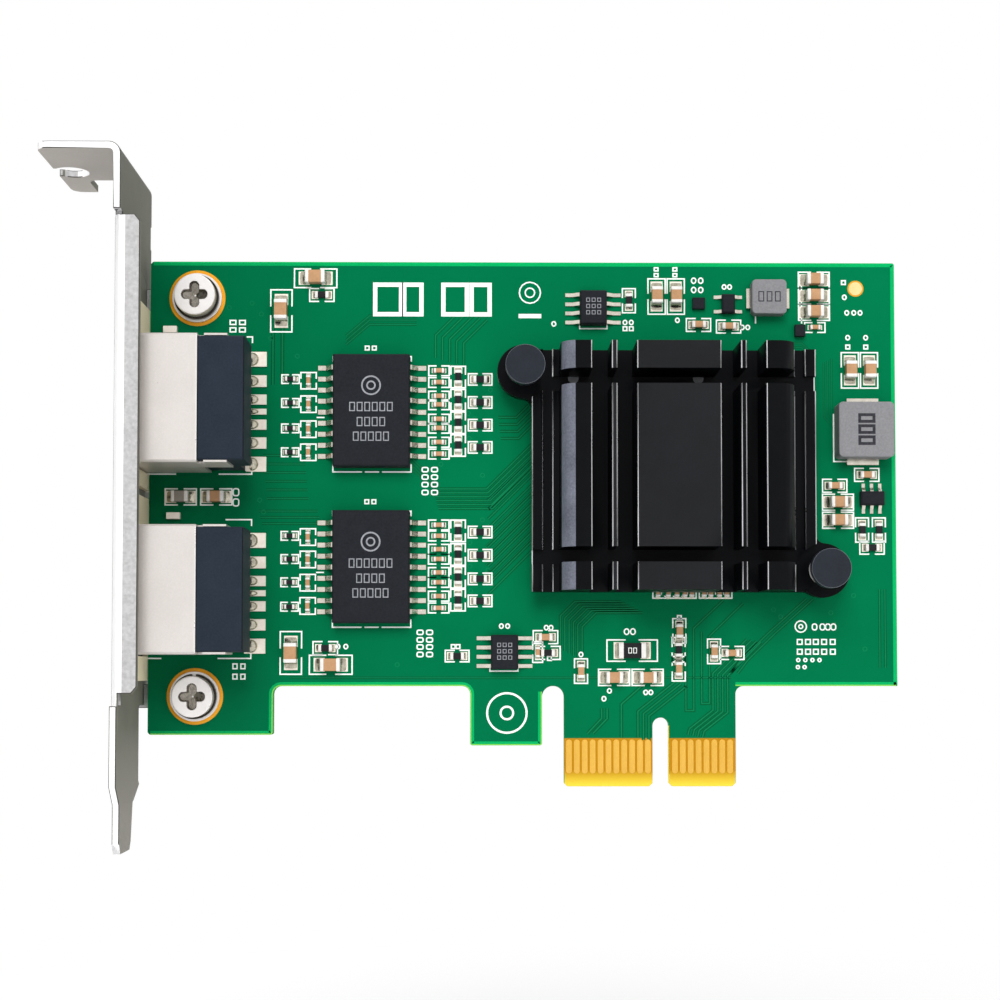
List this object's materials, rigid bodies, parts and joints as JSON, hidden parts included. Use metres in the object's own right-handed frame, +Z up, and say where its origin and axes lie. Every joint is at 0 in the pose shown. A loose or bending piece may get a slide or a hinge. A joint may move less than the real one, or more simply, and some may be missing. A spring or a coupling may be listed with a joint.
{
  "type": "network interface card",
  "caption": "Low-profile network interface card: green circuit board with an edge connector, folded steel bracket, shielded modular jacks and a black finned heat sink.",
  "frame": {"origin": "middle of the key slot at the lower end of the edge connector, half way through the board", "axes": "+X along the board away from the bracket, +Z up out of the host's socket, -Y out of the component side"},
  "size_m": [0.1059, 0.0193, 0.0846],
  "materials": {
    "board": "green solder mask, satin gloss",
    "gold": "gold plated",
    "steel": "nickel plated",
    "dark_steel": "oiled spring steel",
    "bracket": "zinc plated sheet, satin",
    "tinplate": "nickel plated sheet, satin",
    "black_moulding": "moulded, satin",
    "tin": "tinned",
    "gasket_brass": "pale brass foil",
    "black_aluminium": "black anodised, satin",
    "package": "moulded package, fine matt",
    "thermal_rubber": "soft grey pad",
    "ferrite": "pressed iron powder, matt grey",
    "ceramic": "brown ceramic with tinned ends",
    "resistor": "black glaze with tinned ends",
    "lamp": "clear moulding"
  },
  "bodies": {
    "root": {"circuit_board": "board", "edge_contacts": "gold", "flat_washer_upper": "steel", "flat_washer_lower": "steel", "lock_washer_upper": "dark_steel", "lock_washer_lower": "dark_steel", "bracket_screw_upper": "steel", "bracket_screw_lower": "steel", "mounting_bracket": "bracket", "jack_shield_upper": "tinplate", "jack_shield_lower": "tinplate", "jack_housing_upper": "black_moulding", "jack_housing_lower": "black_moulding", "jack_contacts_upper": "gold", "jack_contacts_lower": "gold", "jack_feet_upper": "tin", "jack_feet_lower": "tin", "jack_gasket_upper": "gasket_brass", "jack_gasket_lower": "gasket_brass", "heatsink": "black_aluminium", "controller_chip": "package", "thermal_pad": "thermal_rubber", "push_pin_upper": "black_moulding", "push_pin_lower": "black_moulding", "pin_spring_upper": "steel", "pin_spring_lower": "steel", "magnetics_upper": "package", "magnetics_lower": "package", "magnetics_leads_upper": "tin", "magnetics_leads_lower": "tin", "memory_chip_upper": "package", "memory_chip_lower": "package", "memory_leads_upper": "tin", "memory_leads_lower": "tin", "small_chips": "package", "small_chip_leads": "tin", "tiny_transistors": "package", "inductor_small": "ferrite", "inductor_large": "ferrite", "inductor_terminals": "tin", "ceramic_capacitors": "ceramic", "small_capacitors": "ceramic", "chip_resistors": "resistor", "shunt_resistor": "resistor", "status_lamps": "lamp"}
  },
  "joints": []
}
